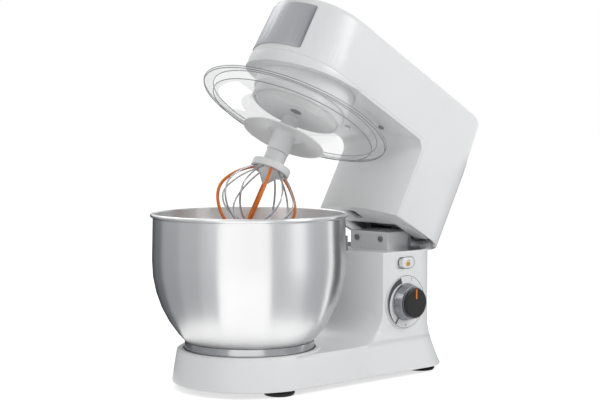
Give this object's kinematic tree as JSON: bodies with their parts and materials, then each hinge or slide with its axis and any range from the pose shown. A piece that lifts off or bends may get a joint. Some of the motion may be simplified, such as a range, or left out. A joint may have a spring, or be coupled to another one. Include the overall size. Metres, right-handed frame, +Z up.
{
  "type": "stand mixer",
  "caption": "Tilt-head stand mixer with a bowl on a twist seat, a planetary whisk, a clear splash guard, a speed knob and a head lock, shown with its head raised.",
  "frame": {"origin": "centre of the bounding box at the floor under the feet", "axes": "+X from the bowl to the column, +Z up, and the knob and the lock face -Y; the head is raised at rest"},
  "size_m": [0.4523, 0.2298, 0.447],
  "materials": {
    "white_plastic": "gloss moulded",
    "pale_grey_plastic": "satin moulded",
    "clear_plastic": "clear gloss",
    "trim_metal": "brushed",
    "bowl_steel": "polished",
    "wire_steel": "polished",
    "coated_wire": "satin",
    "knob_silver": "satin",
    "knob_black": "gloss",
    "pointer_orange": "gloss",
    "black_rubber": "matte",
    "white_enamel": "painted",
    "cast_alloy": "cast",
    "machined_steel": "machined",
    "bronze": "machined",
    "dark_plastic": "matte",
    "board_green": "matte"
  },
  "bodies": {
    "stand": {"base_shell": "white_plastic", "base_plate": "dark_plastic", "rubber_feet": "black_rubber", "base_screws": "machined_steel", "bowl_seat": "white_plastic", "dial_ring": "white_plastic", "lock_bezel": "pale_grey_plastic", "speed_switch": "dark_plastic", "control_board": "board_green", "hinge_tower": "white_plastic", "tower_screws": "machined_steel", "hinge_bracket_left": "machined_steel", "hinge_bracket_right": "machined_steel", "hinge_pin": "machined_steel", "cord_gland": "black_rubber"},
    "knob": {"knob_skirt": "knob_silver", "knob_face": "knob_black", "knob_pointer": "pointer_orange", "knob_shaft": "machined_steel"},
    "lock": {"lock_button": "white_plastic", "lock_bar": "machined_steel", "latch_hook": "machined_steel"},
    "head": {"head_upper_shell": "white_plastic", "head_lower_shell": "white_plastic", "front_trim": "trim_metal", "head_screws": "machined_steel", "gearbox_housing": "white_enamel", "carrier_bushes": "bronze", "ring_gear": "machined_steel", "head_chassis": "cast_alloy", "motor_frame": "cast_alloy", "motor_bearings": "machined_steel", "brush_holders": "bronze", "drive_belt": "black_rubber", "hinge_arm_left": "machined_steel", "hinge_arm_right": "machined_steel", "hinge_bush_left": "bronze", "hinge_bush_right": "bronze", "splash_guard": "clear_plastic"},
    "carrier": {"planet_carrier": "pale_grey_plastic", "carrier_shaft": "machined_steel", "large_pulley": "cast_alloy"},
    "beater": {"planet_gear": "machined_steel", "beater_shaft": "machined_steel", "drive_pin": "machined_steel", "drip_cap": "white_plastic", "whisk_hub": "white_plastic", "coated_wires": "coated_wire", "steel_wires": "wire_steel"},
    "motor": {"motor_rotor": "bronze", "motor_shaft": "machined_steel", "motor_pulley": "machined_steel", "motor_fan": "dark_plastic"},
    "bowl": {"bowl_shell": "bowl_steel", "bowl_foot": "bowl_steel"}
  },
  "joints": [
    {"name": "head_tilt", "type": "hinge", "parent": "stand", "child": "head", "pos_m": [0.11885, 0, 0.126], "axis": [0, 1, 0], "range_deg": [-28.66, 0]},
    {"name": "carrier_spin", "type": "hinge", "parent": "head", "child": "carrier", "pos_m": [-0.02334, 0, 0.34959], "axis": [0.4796, 0, 0.8775], "continuous": true},
    {"name": "beater_spin", "type": "hinge", "parent": "carrier", "child": "beater", "pos_m": [-0.03961, 0.0251, 0.28555], "axis": [0.4796, 0, 0.8775], "continuous": true},
    {"name": "motor_spin", "type": "hinge", "parent": "head", "child": "motor", "pos_m": [0.12804, 0, 0.23038], "axis": [0.4796, 0, 0.8775], "continuous": true},
    {"name": "knob_turn", "type": "hinge", "parent": "stand", "child": "knob", "pos_m": [0.06935, -0.07, 0.0868], "axis": [0, -1, 0], "range_deg": [-45, 225]},
    {"name": "lock_slide", "type": "slide", "parent": "stand", "child": "lock", "axis": [1, 0, 0], "range_m": [-0.0076, 0]},
    {"name": "bowl_twist", "type": "hinge", "parent": "stand", "child": "bowl", "pos_m": [-0.11315, 0, 0.04], "axis": [0, 0, 1], "range_deg": [0, 25]}
  ],
  "couplings": [
    {"joint": "beater_spin", "follows": "carrier_spin", "ratio": -3},
    {"joint": "motor_spin", "follows": "carrier_spin", "ratio": 5}
  ]
}
